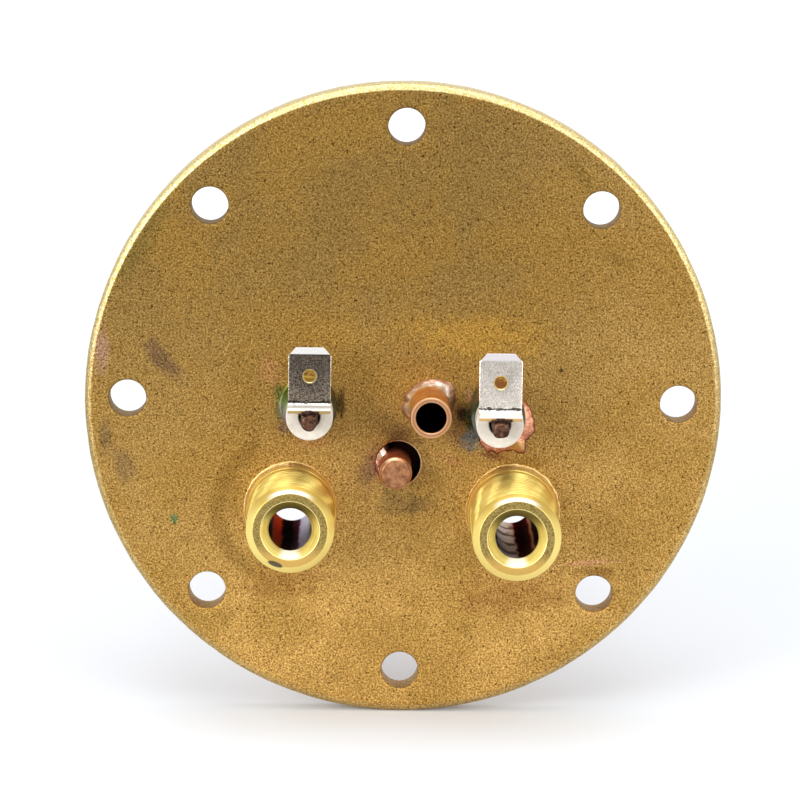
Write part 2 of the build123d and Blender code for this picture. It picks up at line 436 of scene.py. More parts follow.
def build_nozzle(side):
    """Turned nozzle with a coned mouth, a bevelled end and a real thread."""
    node = f"nozzle_{side}"
    low, high = limits(node)
    shank_r = (high.x - low.x) / 2
    thread_r = mount_radius(f"nozzle_thread_{side}")
    bore_r = mount_radius(f"nozzle_bore_{side}")
    front = low.y
    tail = high.y
    chamfer_y = front + thread_r - NOZZLE_LIP_R
    bore = [(bore_r, tail - (tail - front) * i / 24) for i in range(23)]
    mouth = [
        (bore_r, front + NOZZLE_MOUTH_R - bore_r),
        (NOZZLE_MOUTH_R, front),
        (NOZZLE_LIP_R, front),
        (thread_r, chamfer_y),
    ]
    mouth = arc_steps([bore[-1]] + mouth + [(thread_r, chamfer_y + 1)], 0.1, 3)[4:-4]
    rows = int((-SHANK_REACH - chamfer_y) / THREAD_PITCH * 12)
    step = (-SHANK_REACH - chamfer_y) / rows
    thread = [(thread_r, chamfer_y + step * (i + 1)) for i in range(rows)]
    shank = [(shank_r, -SHANK_REACH + 0.15), (shank_r, 0.5), (shank_r, tail)]

    def shape(angle, radius, y):
        if abs(radius - thread_r) > 0.02 or y < chamfer_y:
            return radius, y
        return radius - thread_dip(angle, y, chamfer_y - 0.6, -SHANK_REACH), y

    return turned(f"nozzle_body_{side}", centre(node), bore + mouth + thread + shank, 96, shape)


def edge_radius(table, angle):
    """Radius of an outline at an angle in radians, run smoothly between its points."""
    degrees = angle * 180 / pi % 360
    angles = [a for a, _ in table]
    places = [table[-1][0] - 360] + angles + [table[0][0] + 360]
    radii = [table[-1][1]] + [r for _, r in table] + [table[0][1]]
    return float(np.interp(degrees, places, radii))


def build_fillet(name, at, inner_r, edge, height, uneven, seed, steps=144, flat=0.0, torn=0.12):
    """Lumpy braze round a piece, run out on the flange to a given outline.

    height is how far it climbs up the piece, flat how thick its edge stays and
    torn how far the edge strays from the outline.
    """
    rows = 12
    profile = [(inner_r + i / rows, 0) for i in range(rows + 1)]
    profile += [(inner_r + 1, 0.35), (inner_r - 0.1, 0.35)]

    def shape(angle, radius, y):
        reach = edge_radius(edge, angle) - inner_r
        share = min(max(radius - inner_r, 0), 1)
        spot = (cos(angle) * (inner_r + share * reach), sin(angle) * (inner_r + share * reach))
        if y > 0:
            return inner_r + (radius - inner_r) * (reach if share > 0 else 1), y
        wobble = torn * (lump((*spot, 0), 0.8, seed) + 0.6 * lump((*spot, 0), 0.3, seed))
        climb = (1 - share) ** 2 * height + flat * (1 - share ** 4)
        climb *= 1 + uneven * (
            lump((*spot, 1), 1.3, seed) + 0.5 * lump((*spot, 2), 0.6, seed + 2)
        )
        return inner_r + share * (reach + wobble), -max(climb, 0.0)

    return turned(name, at, profile, steps, shape)


def build_well_braze():
    """Braze that fills the rod's well at the left and is sunk at the upper right."""
    low, high = limits("cutout_rod")
    rod_r = (high.x - low.x) / 2
    rod_at = centre("cutout_rod")
    offset = Vector((WELL_AT[0] - rod_at[0], WELL_AT[1] - rod_at[1]))
    rows = 10
    profile = [(rod_r + i / rows, 0) for i in range(rows + 1)]
    profile += [(rod_r + 1, WELL_DEPTH), (rod_r - 0.05, WELL_DEPTH)]

    def shape(angle, radius, y):
        ray = Vector((cos(angle), sin(angle)))
        along = ray.dot(offset)
        reach = along + (WELL_R ** 2 - offset.length_squared + along ** 2) ** 0.5 - rod_r
        share = min(max(radius - rod_r, 0), 1)
        across = rod_r + share * reach
        if y > 0:
            return (across if radius > rod_r else radius), y
        degrees = angle * 180 / pi % 360
        filled = float(np.interp(degrees, [96, 122, 262, 300], [0, 1, 1, 0]))
        crest = -0.75 * float(np.interp(degrees, [110, 135, 165], [0.3, 1.0, 0.25]))
        spot = (cos(angle) * across, sin(angle) * across, 0)
        top = crest * (1 - 0.6 * share) + 0.16 * lump(spot, 0.8, 4) + 0.12
        return across, top * filled + (WELL_DEPTH - 0.3) * (1 - filled)

    return turned("well_braze", rod_at, profile, 144, shape)


def build_pin(side):
    """Cold pin with a rough cut end."""
    low, high = limits(f"terminal_pin_{side}")
    pin_r = (high.x - low.x) / 2
    front = low.y
    at = centre(f"terminal_pin_{side}")
    profile = [(0, front)] + [(pin_r * i / 8, front) for i in range(1, 9)]
    profile += [(pin_r, front + 0.12 * i) for i in range(1, 20)]
    profile += [(pin_r, high.y), (0, high.y)]
    flat_turn, flat_depth = (-18, 0.13) if side == "left" else (-84, 0.12)
    squareness = 0.02 if side == "left" else 0.05

    def shape(angle, radius, y):
        if y > front + 2.2:
            return radius, y
        share = radius / pin_r
        rough = 0.05 * (lump((cos(angle) * 2, sin(angle) * 2, y), 0.6, 6) - 0.4)
        trim = squareness * (0.5 + 0.5 * cos(4 * angle))
        trim += flat_depth * max(cos(angle - radians(flat_turn)) - 0.72, 0) / 0.28
        edge = max(share - 0.8, 0) * 0.9 if y == front else 0.0
        dish = 0.06 * (1 + lump((radius * cos(angle), radius * sin(angle), 0), 0.5, 2))
        out = y + (dish + edge if y == front else 0.0)
        return radius * (1 + (rough - trim) / pin_r), out

    return turned(f"pin_{side}", at, profile, 40, shape)


def build_weld(side):
    """Dark crust of the weld between the pin and the front of the tab's leg."""
    low, high = limits(f"tab_{side}")
    pin_low, pin_high = limits(f"terminal_pin_{side}")
    bm = bmesh.new()
    bmesh.ops.create_icosphere(bm, subdivisions=4, radius=1.0)
    reach = (1.35, 0.42, 0.42) if side == "left" else (1.55, 0.40, 0.38)
    middle = Vector(((low.x + high.x) / 2, low.y + 0.1, pin_high.z + 0.05))
    for vert in bm.verts:
        swell = 1 + 0.35 * lump(vert.co, 0.55, 7) + 0.2 * lump(vert.co, 0.25, 3)
        vert.co = middle + Vector(c * r * swell for c, r in zip(vert.co, reach))
        vert.co.y = max(vert.co.y, pin_low.y + 0.2)
    return finish_mesh(f"weld_{side}", bm)


# Finishes

class Paint:
    """One procedural finish. Its places are millimetres in the part's frame."""

    def __init__(self, name):
        self.material = bpy.data.materials.new(name)
        self.material.use_nodes = True
        self.tree = self.material.node_tree
        self.shader = self.tree.nodes["Principled BSDF"]
        coords = self.tree.nodes.new("ShaderNodeTexCoord")
        scale = self.tree.nodes.new("ShaderNodeVectorMath")
        scale.operation = "SCALE"
        scale.inputs["Scale"].default_value = 1 / MM
        self.tree.links.new(coords.outputs["Object"], scale.inputs[0])
        self.place = scale.outputs[0]
        split = self.tree.nodes.new("ShaderNodeSeparateXYZ")
        self.tree.links.new(self.place, split.inputs[0])
        self.x, self.y, self.z = split.outputs

    def put(self, socket, value):
        """Link a socket, or set the number or colour on it."""
        if isinstance(value, bpy.types.NodeSocket):
            self.tree.links.new(value, socket)
        elif isinstance(value, tuple) and len(value) == 3 and socket.type == "RGBA":
            socket.default_value = (*value, 1.0)
        else:
            socket.default_value = value

    def math(self, operation, a, b=0.0, clamp=False):
        node = self.tree.nodes.new("ShaderNodeMath")
        node.operation = operation
        node.use_clamp = clamp
        self.put(node.inputs[0], a)
        self.put(node.inputs[1], b)
        return node.outputs[0]

    def noise(self, size, detail=3.0, rough=0.55, stretch=(1, 1, 1), shift=0.0):
        """Noise from 0 to 1 with features of about that size."""
        place = self.tree.nodes.new("ShaderNodeMapping")
        place.inputs["Scale"].default_value = stretch
        place.inputs["Location"].default_value = (shift, shift * 1.7, -shift)
        self.put(place.inputs["Vector"], self.place)
        node = self.tree.nodes.new("ShaderNodeTexNoise")
        node.inputs["Scale"].default_value = 1 / size
        node.inputs["Detail"].default_value = detail
        node.inputs["Roughness"].default_value = rough
        self.put(node.inputs["Vector"], place.outputs[0])
        return node.outputs["Fac"]

    def ramp(self, value, stops):
        """Colour that goes through the given (place, colour) stops."""
        node = self.tree.nodes.new("ShaderNodeValToRGB")
        points = node.color_ramp.elements
        while len(points) < len(stops):
            points.new(0.5)
        for point, (place, color) in zip(points, stops):
            point.position = place
            point.color = (*srgb(*color), 1.0)
        self.put(node.inputs["Fac"], value)
        return node.outputs["Color"]

    def span(self, value, low, high, to_low=0.0, to_high=1.0):
        """Value carried from one range to another, smooth and clamped."""
        node = self.tree.nodes.new("ShaderNodeMapRange")
        node.interpolation_type = "SMOOTHSTEP"
        self.put(node.inputs["Value"], value)
        node.inputs["From Min"].default_value = low
        node.inputs["From Max"].default_value = high
        node.inputs["To Min"].default_value = to_low
        node.inputs["To Max"].default_value = to_high
        return node.outputs["Result"]

    def mix(self, share, a, b, blend="MIX"):
        node = self.tree.nodes.new("ShaderNodeMix")
        node.data_type = "RGBA"
        node.blend_type = blend
        self.put(node.inputs["Factor"], share)
        self.put(node.inputs["A"], a)
        self.put(node.inputs["B"], b)
        return node.outputs["Result"]

    def turn(self, at):
        """Angle round an axis at (x, z): 0 to 1, counterclockwise from the right."""
        dx = self.math("SUBTRACT", self.x, at[0])
        dz = self.math("SUBTRACT", self.z, at[1])
        share = self.math("DIVIDE", self.math("ARCTAN2", dz, dx), 2 * pi)
        return self.math("FRACT", self.math("ADD", share, 1.0))

    def radius(self, at, across=1.0, high=1.0, turn=0.0):
        """Distance from an axis at (x, z), in units of an ellipse's half axes."""
        place = self.tree.nodes.new("ShaderNodeMapping")
        place.vector_type = "TEXTURE"
        place.inputs["Location"].default_value = (at[0], 0, at[1])
        place.inputs["Rotation"].default_value = (0, -radians(turn), 0)
        place.inputs["Scale"].default_value = (across, 1e5, high)
        self.put(place.inputs["Vector"], self.place)
        node = self.tree.nodes.new("ShaderNodeVectorMath")
        node.operation = "LENGTH"
        self.put(node.inputs[0], place.outputs[0])
        return node.outputs["Value"]

    def spot(self, at, across, high, turn=0.0, soft=0.7, waves=0.0):
        """Mask of an elliptical spot, such as a stain or a painted shadow: 1 in its middle, 0 outside its
        ellipse.
        """
        distance = self.math("ADD", self.radius(at, across, high, turn), waves)
        return self.span(distance, 1.0, 1.0 - soft)

    def band(self, value, middle, half, soft):
        """Mask of the values close to a middle."""
        away = self.math("ABSOLUTE", self.math("SUBTRACT", value, middle))
        return self.span(away, half + soft, half)

    def both(self, *masks):
        """Product of some masks."""
        product = masks[0]
        for mask in masks[1:]:
            product = self.math("MULTIPLY", product, mask)
        return product

    def tint(self, color, mask, share, other):
        """Colour carried part of the way to another where a mask says so."""
        return self.mix(self.math("MULTIPLY", mask, share), color, srgb(*other))

    def bump(self, height, depth, normal=None):
        node = self.tree.nodes.new("ShaderNodeBump")
        node.inputs["Strength"].default_value = 1.0
        node.inputs["Distance"].default_value = depth * MM
        self.put(node.inputs["Height"], height)
        if normal is not None:
            self.put(node.inputs["Normal"], normal)
        return node.outputs["Normal"]

    def done(self, color, roughness, metallic=1.0, normal=None, **fixed):
        """Set the shader and give the material back."""
        self.put(self.shader.inputs["Base Color"], color)
        self.put(self.shader.inputs["Roughness"], roughness)
        self.put(self.shader.inputs["Metallic"], metallic)
        if normal is not None:
            self.put(self.shader.inputs["Normal"], normal)
        for name, value in fixed.items():
            self.shader.inputs[name.replace("_", " ")].default_value = value
        return self.material


def srgb(red, green, blue):
    """Linear colour of an sRGB colour given from 0 to 255."""
    def linear(v):
        v /= 255
        return v / 12.92 if v <= 0.04045 else ((v + 0.055) / 1.055) ** 2.4
    return linear(red), linear(green), linear(blue)


FLANGE_STAINS_AND_SHADOWS = [
    # stains and painted shadows: x, z, half width, half height, turn, strength, colour
    (-39.7, 24.0, 12.0, 2.8, 62, 0.60, (116, 98, 48)),
    (-36.3, 5.9, 6.0, 2.0, -48, 0.65, (104, 78, 60)),
    (-45.4, 7.3, 1.6, 5.0, 0, 0.55, (170, 132, 112)),
    (-44.9, -5.7, 1.4, 4.0, 0, 0.60, (112, 90, 62)),
    (-41.9, -10.5, 2.4, 3.6, 20, 0.55, (120, 96, 64)),
    (-34.4, -18.4, 0.8, 0.9, 0, 0.80, (84, 118, 76)),
    # painted contact shadow under the left nozzle
    (-17.6, -27.7, 8.0, 3.6, 8, 0.55, (142, 98, 46)),
    (25.9, 34.6, 6.0, 1.3, -50, 0.55, (134, 106, 50)),
    (31.4, 21.9, 5.0, 1.6, -20, 0.50, (138, 106, 52)),
    (23.7, 4.9, 0.5, 0.4, 0, 0.90, (62, 44, 22)),
    (10.5, 10.0, 14.0, 4.6, -4, 0.38, (200, 154, 60)),
    (-11.0, 10.5, 9.0, 3.0, 0, 0.35, (176, 134, 60)),
    (-0.6, -9.8, 8.0, 7.4, 0, 0.45, (130, 102, 58)),
    (-0.3, -15.4, 5.0, 3.0, 0, 0.55, (118, 96, 56)),
    (-0.6, -5.6, 3.4, 1.9, -20, 0.75, (100, 70, 42)),
    (-4.6, -10.2, 1.5, 3.2, 0, 0.65, (148, 104, 84)),
    (8.8, -2.3, 2.3, 3.0, 0, 0.80, (116, 78, 52)),
    # painted shadow beside the right terminal
    (8.9, -1.9, 1.3, 1.8, 30, 0.90, (52, 34, 24)),
    (8.4, -5.0, 2.6, 2.6, -30, 0.55, (142, 100, 66)),
    (10.7, -5.4, 2.4, 2.9, -35, 0.95, (112, 114, 108)),
    (10.3, -2.4, 1.6, 2.7, 0, 0.95, (52, 66, 32)),
    (10.4, 0.8, 1.2, 1.4, 40, 0.75, (190, 138, 104)),
    (14.0, -8.3, 2.8, 0.7, -6, 0.80, (120, 74, 46)),
    (-18.7, 1.0, 1.0, 1.8, 10, 0.75, (92, 100, 44)),
    (-18.8, -1.4, 0.9, 2.4, 0, 0.75, (110, 112, 66)),
    (-18.0, -4.2, 1.2, 1.6, 40, 0.70, (116, 92, 78)),
    (-0.9, -4.6, 5.5, 2.8, -14, 0.50, (110, 84, 50)),
    (-5.6, -11.6, 1.8, 4.4, 8, 0.50, (132, 100, 66)),
    (2.6, -15.6, 3.6, 2.0, 24, 0.50, (112, 88, 56)),
    (7.6, -9.0, 3.4, 1.2, -20, 0.45, (176, 122, 78)),
    # painted shadow to the right of the left tab
    (-9.4, -0.4, 1.1, 3.4, 0, 0.90, (84, 64, 32)),
    (-20.2, 4.4, 2.2, 3.2, 0, 0.32, (196, 134, 88)),
    (-13.0, -6.2, 4.4, 1.6, 6, 0.55, (178, 126, 76)),
    (23.0, -1.5, 4.0, 5.0, 0, 0.35, (160, 120, 56)),
    (17.5, -9.2, 5.5, 1.8, 0, 0.55, (140, 100, 44)),
    # painted contact shadow under the right nozzle
    (16.9, -29.6, 11.0, 4.6, 4, 0.60, (150, 104, 52)),
    (28.6, -24.5, 6.0, 0.6, 5, 0.75, (206, 150, 110)),
    (29.3, -25.9, 3.6, 1.2, 0, 0.60, (134, 90, 44)),
    (19.0, 42.8, 9.0, 2.2, -24, 0.45, (150, 118, 60)),
]
SPILL_STAINS = [
    (17.6, -6.5, 1.7, 1.5, 30, 0.75, (206, 166, 104)),
    (18.6, -7.8, 0.8, 0.5, 20, 0.85, (250, 226, 204)),
    (12.4, -7.4, 2.2, 0.8, -8, 0.60, (176, 104, 78)),
]


def stained(paint, color, stains):
    """Add stains, and painted shadows given among them, with torn edges to a colour."""
    tear = paint.math("SUBTRACT", paint.noise(1.6, 4, 0.7, shift=7), 0.5)
    waves = paint.math("MULTIPLY", tear, 1.7)
    for x, z, across, high, turn, strength, other in stains:
        mask = paint.spot((x, z), across, high, turn, 0.75, waves)
        color = paint.tint(color, mask, strength, other)
    return color


def flange_finish():
    """Sand-blasted brass with grain, oxide and heat stains, and a turned rim, with painted light low down
    and to the right, painted shadows, painted highlights on the rim and the well's lip, and painted shade
    in the well.
    """
    paint = Paint("flange_brass")
    cloud = paint.noise(15, 4)
    patch = paint.noise(4.0, 4, shift=40)
    grain = paint.noise(0.27, 2, 0.75)
    pits = paint.noise(0.42, 2, 0.6, shift=15)
    # Painted light: lighter low down and towards the right, darker at the top and the left.
    lit_low = paint.span(paint.z, 30, -36)
    color = paint.mix(lit_low, srgb(140, 110, 58), srgb(194, 152, 82))
    color = paint.tint(color, paint.span(paint.x, 8, 42), 0.45, (188, 148, 82))
    color = paint.tint(color, paint.span(paint.x, -18, -42), 0.35, (140, 110, 58))
    color = paint.tint(color, paint.span(cloud, 0.58, 0.40), 0.5, (158, 120, 54))
    color = paint.tint(color, paint.span(patch, 0.52, 0.72), 0.35, (150, 116, 58))
    color = stained(paint, color, FLANGE_STAINS_AND_SHADOWS)
    left_nozzle = paint.radius(centre("nozzle_left"))
    arc = paint.both(paint.band(left_nozzle, 11.2, 0.4, 1.5), paint.span(paint.x, -20, -23.5))
    color = paint.tint(color, arc, 0.45, (128, 94, 38))
    color = paint.mix(paint.span(grain, 0.50, 0.36, 0, 0.62), color, (0.22, 0.16, 0.10), "MULTIPLY")
    color = paint.mix(paint.span(grain, 0.51, 0.64, 0, 0.62), color, (1.75, 2.0, 2.5), "MULTIPLY")
    color = paint.mix(paint.span(pits, 0.39, 0.31, 0, 0.85), color, (0.16, 0.11, 0.07), "MULTIPLY")
    away = paint.radius((0, 0))
    rim = paint.span(away, PLATE_R - 1.15, PLATE_R - 0.85)
    # The turned rim is pale, with a painted highlight that is strongest at the top.
    turned_rim_highlight = paint.mix(paint.span(grain, 0.38, 0.6), srgb(214, 180, 98), srgb(250, 236, 182))
    upper = paint.span(paint.z, -10, 30, 0.25, 1.0)
    color = paint.mix(paint.both(rim, upper), color, turned_rim_highlight)
    well = paint.radius(WELL_AT)
    # Painted highlight on the right side of the well's lip.
    lip = paint.both(
        paint.band(well, WELL_R + 0.14, 0.05, 0.06), paint.span(paint.x, -2.5, 0.5)
    )
    color = paint.tint(color, lip, 0.9, (236, 220, 176))
    # Painted shade: the well is painted near black below its lip.
    depth_shade = paint.both(paint.span(well, WELL_R + 0.06, WELL_R), paint.span(paint.y, 0.05, 0.3))
    color = paint.tint(color, depth_shade, 1.0, (14, 9, 6))
    rough = paint.span(grain, 0.3, 0.7, 0.60, 0.44)
    rough = paint.math("SUBTRACT", rough, paint.math("MULTIPLY", rim, 0.16))
    height = paint.math("ADD", grain, paint.math("MULTIPLY", pits, 0.7))
    normal = paint.bump(height, 0.09)
    return paint.done(color, rough, 1.0, normal)


BORE_COLORS = {
    "left": [
        (0, (150, 136, 120)), (20, (80, 60, 44)), (160, (66, 38, 24)), (190, (52, 30, 18)),
        (205, (66, 36, 20)), (214, (190, 110, 62)), (240, (196, 110, 62)), (248, (70, 40, 24)),
        (268, (58, 36, 28)), (280, (108, 78, 82)), (291, (124, 96, 106)),
        (298, (216, 208, 222)), (325, (238, 234, 240)), (340, (214, 206, 206)),
        (347, (70, 50, 38)), (356, (96, 76, 58)),
    ],
    "right": [
        (0, (90, 56, 34)), (140, (92, 62, 40)), (176, (130, 118, 108)), (184, (240, 238, 242)),
        (201, (214, 212, 220)), (206, (60, 44, 38)), (212, (76, 56, 48)),
        (217, (240, 234, 228)), (272, (226, 206, 190)), (278, (110, 44, 16)),
        (298, (84, 40, 22)), (316, (120, 66, 44)), (325, (216, 172, 146)),
        (332, (112, 62, 38)), (344, (62, 34, 20)),
    ],
}


def nozzle_finish(side):
    """Bright turned brass with painted reflections, highlights and shade, a dull flat end and a bore with
    stains and painted reflections.
    """
    paint = Paint(f"nozzle_brass_{side}")
    at = centre(f"nozzle_{side}")
    front = limits(f"nozzle_{side}")[0].y
    rings = paint.noise(0.28, 3, 0.6, stretch=(0.04, 1, 0.04))
    cloud = paint.noise(3.0, 3)
    grain = paint.noise(0.3, 2, 0.6)
    away = paint.radius(at)
    turn = paint.turn(at)
    rise = paint.math("DIVIDE", paint.math("SUBTRACT", paint.z, at[1]), NOZZLE_MOUTH_R)
    at_front = paint.span(paint.y, front + 0.14, front + 0.04)
    color = paint.mix(paint.span(cloud, 0.35, 0.7), srgb(250, 230, 136), srgb(240, 210, 114))
    color = paint.mix(paint.span(rings, 0.52, 0.36, 0, 0.4), color, srgb(206, 166, 78))
    # Painted yellow-orange reflection of the flange on the right of the threaded flank.
    flank_reflection = paint.both(paint.band(turn, 0.08, 0.03, 0.08), paint.span(away, 6.0, 6.2))
    color = paint.tint(color, flank_reflection, 0.55, (226, 182, 84))
    color = bevel_tone(paint, color, away, turn, rise, front)
    color = end_tone(paint, color, away, rise, grain, at_front)
    color = cone_tone(paint, color, away, turn, rise)
    if side == "left":
        nick_at = (at[0] + 5.5 * cos(radians(247)), at[1] + 5.5 * sin(radians(247)))
        nick = paint.both(paint.spot(nick_at, 1.35, 0.48, -20, 0.3), paint.span(away, 5.0, 5.1))
        color = paint.tint(color, nick, 0.95, (92, 82, 68))
    inside = bore_tone(paint, side, turn, cloud)
    in_bore = paint.span(away, 3.22, 3.16)
    color = paint.mix(in_bore, color, inside)
    paint.put(paint.shader.inputs["Specular Tint"], paint.mix(in_bore, (1.0, 1.0, 1.0), inside))
    normal = paint.bump(paint.math("ADD", rings, paint.math("MULTIPLY", grain, 0.4)), 0.03)
    return paint.done(color, paint.span(at_front, 0, 1, 0.44, 0.50), 1.0, normal)


def bevel_tone(paint, color, away, turn, rise, front):
    """Outer bevel of a nozzle: bright yellow, painted darker towards the top, with a painted white
    highlight at the top.
    """
    outside = paint.span(away, 5.5, 5.6)
    place = paint.both(outside, paint.span(paint.y, front + 1.12, front + 0.98))
    # Painted shade: the bevel's yellow is darker towards the top.
    tone = paint.mix(paint.span(rise, 0.3, 1.1), srgb(250, 226, 136), srgb(206, 172, 84))
    color = paint.mix(paint.math("MULTIPLY", place, 0.85), color, tone)
    # Painted white highlight at the top of the bevel.
    top_highlight = paint.both(
        outside, paint.span(away, 6.15, 5.95), paint.band(turn, 0.25, 0.05, 0.07)
    )
    return paint.tint(color, top_highlight, 0.9, (255, 252, 236))


def end_tone(paint, color, away, rise, grain, at_front):
    """Flat end of a nozzle: dull olive that is partly a painted dark reflection, tan low down, with a
    painted highlight on the inner edge.
    """
    # The dull olive is partly the end's own finish and partly a painted dark reflection.
    dull = paint.mix(paint.span(grain, 0.36, 0.62), srgb(132, 112, 60), srgb(176, 152, 90))
    dull = paint.tint(dull, paint.span(rise, -0.4, -1.0), 0.85, (218, 178, 98))
    place = paint.both(at_front, paint.band(away, 4.97, 0.50, 0.10))
    color = paint.mix(place, color, dull)
    # Painted highlight on the inner edge of the end.
    edge = paint.both(at_front, paint.band(away, NOZZLE_MOUTH_R, 0.02, 0.04))
    return paint.tint(color, edge, 0.9, (255, 240, 176))


def cone_tone(paint, color, away, turn, rise):
    """Coned mouth of a nozzle: painted shade at the top and a painted highlight low down."""
    cone = paint.both(paint.span(away, 4.36, 4.30), paint.span(away, 3.10, 3.16))
    # Painted shade on the upper part of the cone.
    shade = paint.both(cone, paint.span(rise, 0.15, 0.75))
    color = paint.tint(color, shade, 0.85, (92, 78, 34))
    # Painted highlight low on the cone.
    shine = paint.both(cone, paint.band(turn, 0.75, 0.04, 0.04))
    return paint.tint(color, shine, 0.9, (255, 248, 226))


def bore_tone(paint, side, turn, cloud):
    """Stains and reflections along the bore of a nozzle."""
    stops = [(angle / 360, tone) for angle, tone in BORE_COLORS[side]]
    wander = paint.math("MULTIPLY", paint.math("SUBTRACT", cloud, 0.5), 0.05)
    inside = paint.ramp(paint.math("ADD", turn, wander), stops)
    if side == "left":
        return inside
    wave = paint.math("SINE", paint.math("ADD", paint.y, paint.math("MULTIPLY", cloud, 9.0)))
    bands = paint.both(paint.span(wave, 0.0, 0.8), paint.band(turn, 0.68, 0.07, 0.02))
    return paint.tint(inside, bands, 0.75, (136, 106, 92))


def pocket_finish():
    """Copper tube: an orange flank with a paler ring at its mouth, and painted shade inside towards its
    closed end.
    """
    paint = Paint("pocket_copper")
    low, high = limits("sensor_pocket")
    cloud = paint.noise(1.6, 4)
    away = paint.radius(centre("sensor_pocket"))
    color = paint.mix(paint.span(cloud, 0.35, 0.65), srgb(246, 168, 98), srgb(255, 206, 150))
    mouth = paint.span(paint.y, low.y + 0.5, low.y + 0.2)
    color = paint.tint(color, mouth, 0.7, (250, 194, 150))
    rings = paint.band(away, (high.x - low.x) / 2 - 0.4, 0.06, 0.10)
    color = paint.tint(color, paint.both(mouth, rings), 0.45, (176, 96, 50))
    # Painted shade: the inside of the tube is painted near black towards its closed end.
    depth_shade = paint.both(paint.span(away, 2.38, 2.32), paint.span(paint.y, low.y, low.y + 1.6))
    color = paint.tint(color, depth_shade, 1.0, (16, 9, 6))
    return paint.done(color, 0.34, 1.0, paint.bump(cloud, 0.05))


def rod_finish():
    """Copper rod: a mottled sawn end, a pale bevel with a painted highlight at its top, and a darker
    flank.
    """
    paint = Paint("rod_copper")
    low, high = limits("cutout_rod")
    rod_r = (high.x - low.x) / 2
    cloud = paint.noise(0.9, 4, 0.65)
    grain = paint.noise(0.25, 2, 0.7, shift=4)
    away = paint.radius(centre("cutout_rod"))
    color = paint.mix(paint.span(cloud, 0.35, 0.65), srgb(172, 90, 56), srgb(214, 130, 92))
    face = paint.mix(paint.span(cloud, 0.36, 0.62), srgb(146, 95, 66), srgb(192, 138, 98))
    face = paint.mix(paint.span(grain, 0.42, 0.30, 0, 0.5), face, srgb(112, 66, 52))
    at_front = paint.span(paint.y, low.y + 0.6, low.y + 0.5)
    color = paint.mix(at_front, color, face)
    edge = paint.both(at_front, paint.span(away, rod_r - 0.16, rod_r - 0.08))
    color = paint.tint(color, edge, 0.8, (246, 196, 158))
    # Painted highlight on the top of the bevel.
    upper = paint.both(
        paint.span(away, rod_r - 0.42, rod_r - 0.34), paint.span(paint.z, high.z - 1.0, high.z - 0.4)
    )
    color = paint.tint(color, paint.both(at_front, upper), 0.9, (255, 216, 172))
    return paint.done(color, 0.42, 1.0, paint.bump(grain, 0.04))


def sheath_finish():
    """Heat-stained copper: green to purple-grey at the left end, teal at the right."""
    paint = Paint("sheath_copper")
    cloud = paint.noise(1.4, 4, 0.6)
    color = paint.mix(paint.span(cloud, 0.3, 0.7), srgb(160, 98, 66), srgb(198, 130, 94))
    outside = paint.span(paint.y, 2.0, 0.2)
    wander = paint.math("MULTIPLY", paint.math("SUBTRACT", cloud, 0.5), 3.0)
    height = paint.math("ADD", paint.z, wander)
    share = paint.span(height, -5.5, 4.0)
    left = paint.ramp(share, [
        (0.0, (120, 98, 80)), (0.22, (122, 102, 104)), (0.42, (142, 134, 122)),
        (0.55, (142, 158, 122)), (0.70, (112, 128, 72)), (0.80, (92, 104, 36)), (1.0, (168, 140, 62)),
    ])
    right = paint.ramp(share, [
        (0.0, (92, 86, 80)), (0.3, (118, 120, 116)), (0.55, (102, 110, 102)),
        (0.72, (60, 76, 42)), (0.85, (58, 66, 28)), (1.0, (170, 112, 64)),
    ])
    color = paint.mix(paint.both(outside, paint.span(paint.x, 0.5, -0.5)), color, left)
    color = paint.mix(paint.both(outside, paint.span(paint.x, 4.0, 5.0)), color, right)
    shadow_side = paint.both(outside, paint.span(paint.x, -12.0, -11.0), paint.span(paint.x, 0, -1))
    color = paint.tint(color, shadow_side, 0.85, (72, 56, 28))
    return paint.done(color, 0.42, 0.8, paint.bump(cloud, 0.05))


def braze_finish(
    name, low_color, crest_highlight_color, crest, size=0.9, speck=(136, 88, 64), edge=None, stains=()
):
    """Copper or brass braze, with painted shade low down, a painted highlight on its crest (in mm), and
    painted shade where it sinks behind the front face.
    """
    paint = Paint(name)
    cloud = paint.noise(size, 4, 0.6)
    grain = paint.noise(0.3, 2, 0.7, shift=3)
    # Painted shade low down and a painted highlight where the braze stands high.
    height = paint.math("ADD", paint.y, paint.math("MULTIPLY", cloud, 1.2 * crest))
    rise = paint.span(height, 0.4 * crest, -0.5 * crest)
    color = paint.mix(rise, srgb(*low_color), srgb(*crest_highlight_color))
    color = paint.mix(paint.span(grain, 0.45, 0.32, 0, 0.45), color, srgb(*speck))
    color = paint.mix(paint.span(grain, 0.54, 0.66, 0, 0.5), color, srgb(255, 236, 216))
    color = stained(paint, color, stains)
    # Painted shade, near black, where the braze sinks into the well behind the front face.
    color = paint.tint(color, paint.span(paint.y, 0.5, 1.3), 1.0, (20, 11, 7))
    if edge:
        depth, other = edge
        color = paint.tint(color, paint.span(paint.y, -depth, -0.3 * depth), 0.9, other)
    normal = paint.bump(paint.math("ADD", cloud, paint.math("MULTIPLY", grain, 0.4)), 0.10)
    return paint.done(color, 0.40, 1.0, normal)


